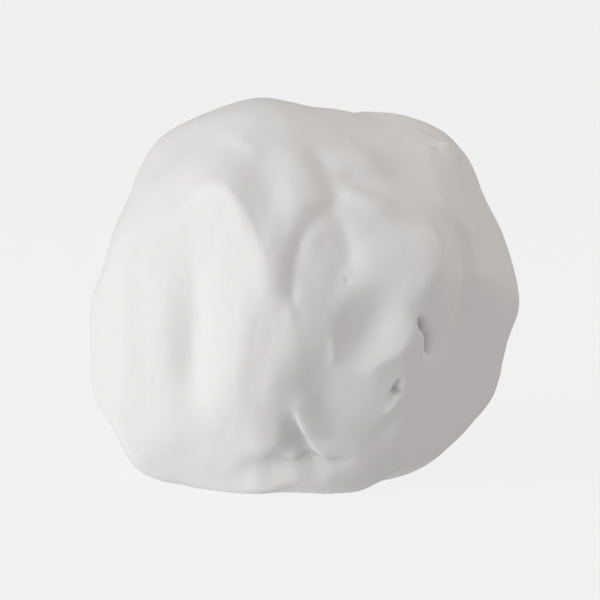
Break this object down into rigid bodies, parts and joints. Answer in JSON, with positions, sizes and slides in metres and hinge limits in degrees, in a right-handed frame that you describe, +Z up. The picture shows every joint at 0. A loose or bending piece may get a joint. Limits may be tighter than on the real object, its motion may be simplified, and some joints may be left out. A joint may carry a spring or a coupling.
{
  "type": "snowball",
  "caption": "Hand-packed lump of wet snow with palm facets, finger dents and folds, standing on a small flat foot; a loose natural prop.",
  "frame": {"origin": "on the plane the lump stands on, under the middle of its box", "axes": "+Z up, +X to the right of the front face, front faces -Y"},
  "size_m": [0.096, 0.0898, 0.083],
  "materials": {
    "snow": "matt to satin white, wet snow pressed smooth by hand"
  },
  "bodies": {
    "root": {"snowball": "snow"}
  },
  "joints": []
}
